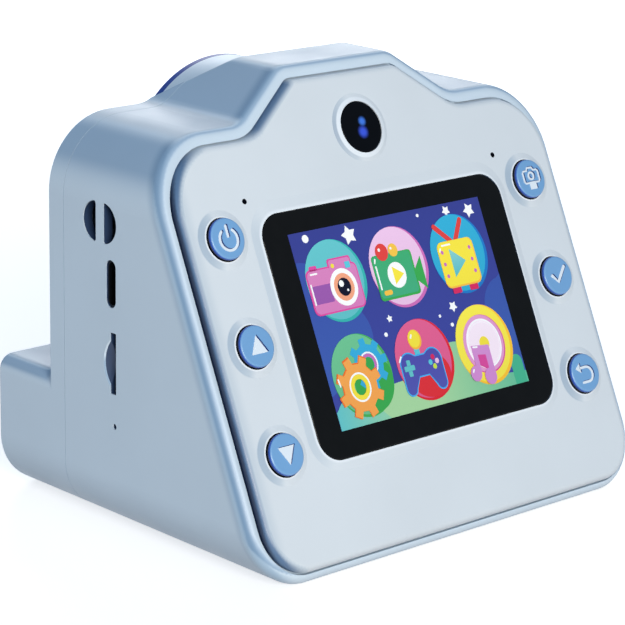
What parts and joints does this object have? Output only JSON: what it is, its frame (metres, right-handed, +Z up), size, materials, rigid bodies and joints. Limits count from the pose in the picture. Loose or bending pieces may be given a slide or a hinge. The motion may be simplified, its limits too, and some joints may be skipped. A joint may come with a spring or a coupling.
{
  "type": "instant print camera",
  "caption": "Child's digital camera with a slanted rear screen panel, round push buttons, a hump, a barrel lens and a lower paper compartment with a hinged door.",
  "frame": {"origin": "on the resting surface, halfway across the camera and 18.25 mm behind the seam between the two shells, where the base mount is", "axes": "+Z up, +Y the way the main lens looks, +X to the right of somebody reading the screen"},
  "size_m": [0.0996, 0.0781, 0.0844],
  "materials": {
    "case_blue": "satin moulded ABS",
    "panel_blue": "satin moulded ABS",
    "button_blue": "semi-gloss moulded plastic",
    "ring_blue": "semi-gloss moulded plastic",
    "screen_glass": "polished cover window with a printed black border",
    "clear_window": "polished",
    "black_glass": "polished",
    "black_plastic": "moulded",
    "lcd_black": "display stack in a thin frame",
    "bracket_steel": "stamped sheet and turned parts",
    "screw_steel": "zinc plated",
    "battery_silver": "foil pouch",
    "flex_amber": "polyimide ribbon",
    "board_green": "solder mask",
    "switch_black": "moulded",
    "led_green": "clear epoxy",
    "switch_white": "moulded",
    "platen_rubber": "ground silicone rubber",
    "gear_white": "moulded acetal",
    "head_ceramic": "glazed ceramic strip",
    "heatsink_aluminium": "pressed plate",
    "paper": "wound thermal paper",
    "core_card": "wound card"
  },
  "bodies": {
    "case": {"main_housing": "case_blue", "front_shell": "case_blue", "lens_barrel": "case_blue", "rear_panel": "panel_blue", "lens_ring": "ring_blue", "display_glass": "screen_glass", "lens_window": "clear_window", "front_camera_lens": "clear_window", "rear_lens_window": "black_glass", "lens_baffle": "black_plastic", "front_camera": "black_plastic", "rear_camera": "black_plastic", "card_socket": "black_plastic", "reset_switch": "black_plastic", "microphone": "black_plastic", "speaker": "black_plastic", "lcd_module": "lcd_black", "display_bracket": "bracket_steel", "printer_frame": "bracket_steel", "usb_c_socket": "bracket_steel", "stepper_motor": "bracket_steel", "door_hinge_pins": "bracket_steel", "head_spring": "bracket_steel", "board_screws": "screw_steel", "bracket_screws": "screw_steel", "front_screws": "screw_steel", "floor_screws": "screw_steel", "battery": "battery_silver", "lcd_flex": "flex_amber", "left_button_board": "board_green", "right_button_board": "board_green", "main_board": "board_green", "front_camera_board": "board_green", "tact_switches": "switch_black", "status_led": "led_green", "paper_tray": "gear_white", "print_head": "head_ceramic", "head_heatsink": "heatsink_aluminium"},
    "power_button": {"power_button": "button_blue"},
    "up_button": {"up_button": "button_blue"},
    "down_button": {"down_button": "button_blue"},
    "shutter_button": {"shutter_button": "button_blue"},
    "ok_button": {"ok_button": "button_blue"},
    "back_button": {"back_button": "button_blue"},
    "reset_plunger": {"reset_plunger": "switch_white"},
    "paper_door": {"paper_door": "case_blue"},
    "platen": {"platen_rubber": "platen_rubber", "platen_shaft": "bracket_steel", "platen_gear": "gear_white"},
    "idler": {"idler_gear": "gear_white"},
    "pinion": {"motor_pinion": "gear_white"},
    "paper_roll": {"paper_roll": "paper", "roll_core": "core_card"}
  },
  "joints": [
    {"name": "power_button_press", "type": "slide", "parent": "case", "child": "power_button", "axis": [0, 0.9087, -0.4175], "range_m": [0, 0.0008], "stiffness_N_per_m": 300},
    {"name": "up_button_press", "type": "slide", "parent": "case", "child": "up_button", "axis": [0, 0.9087, -0.4175], "range_m": [0, 0.0008], "stiffness_N_per_m": 300},
    {"name": "down_button_press", "type": "slide", "parent": "case", "child": "down_button", "axis": [0, 0.9087, -0.4175], "range_m": [0, 0.0008], "stiffness_N_per_m": 300},
    {"name": "shutter_button_press", "type": "slide", "parent": "case", "child": "shutter_button", "axis": [0, 0.9087, -0.4175], "range_m": [0, 0.0008], "stiffness_N_per_m": 300},
    {"name": "ok_button_press", "type": "slide", "parent": "case", "child": "ok_button", "axis": [0, 0.9087, -0.4175], "range_m": [0, 0.0008], "stiffness_N_per_m": 300},
    {"name": "back_button_press", "type": "slide", "parent": "case", "child": "back_button", "axis": [0, 0.9087, -0.4175], "range_m": [0, 0.0008], "stiffness_N_per_m": 300},
    {"name": "reset_press", "type": "slide", "parent": "case", "child": "reset_plunger", "axis": [1, 0, 0], "range_m": [0, 0.0003], "stiffness_N_per_m": 200},
    {"name": "door_hinge", "type": "hinge", "parent": "case", "child": "paper_door", "pos_m": [0, 0.03726, 0.00415], "axis": [-1, 0, 0], "range_deg": [0, 90]},
    {"name": "platen_spin", "type": "hinge", "parent": "case", "child": "platen", "pos_m": [0, 0.015, 0.02875], "axis": [1, 0, 0], "continuous": true},
    {"name": "idler_spin", "type": "hinge", "parent": "case", "child": "idler", "pos_m": [0, 0.01142, 0.03494], "axis": [1, 0, 0], "continuous": true},
    {"name": "pinion_spin", "type": "hinge", "parent": "case", "child": "pinion", "pos_m": [0, 0.01142, 0.04409], "axis": [1, 0, 0], "continuous": true},
    {"name": "roll_spin", "type": "hinge", "parent": "case", "child": "paper_roll", "pos_m": [0, 0.0225, 0.01425], "axis": [1, 0, 0], "continuous": true}
  ],
  "couplings": [
    {"joint": "idler_spin", "follows": "platen_spin", "ratio": -1.3333},
    {"joint": "pinion_spin", "follows": "platen_spin", "ratio": 3.4667},
    {"joint": "roll_spin", "follows": "platen_spin", "ratio": 0.4}
  ]
}
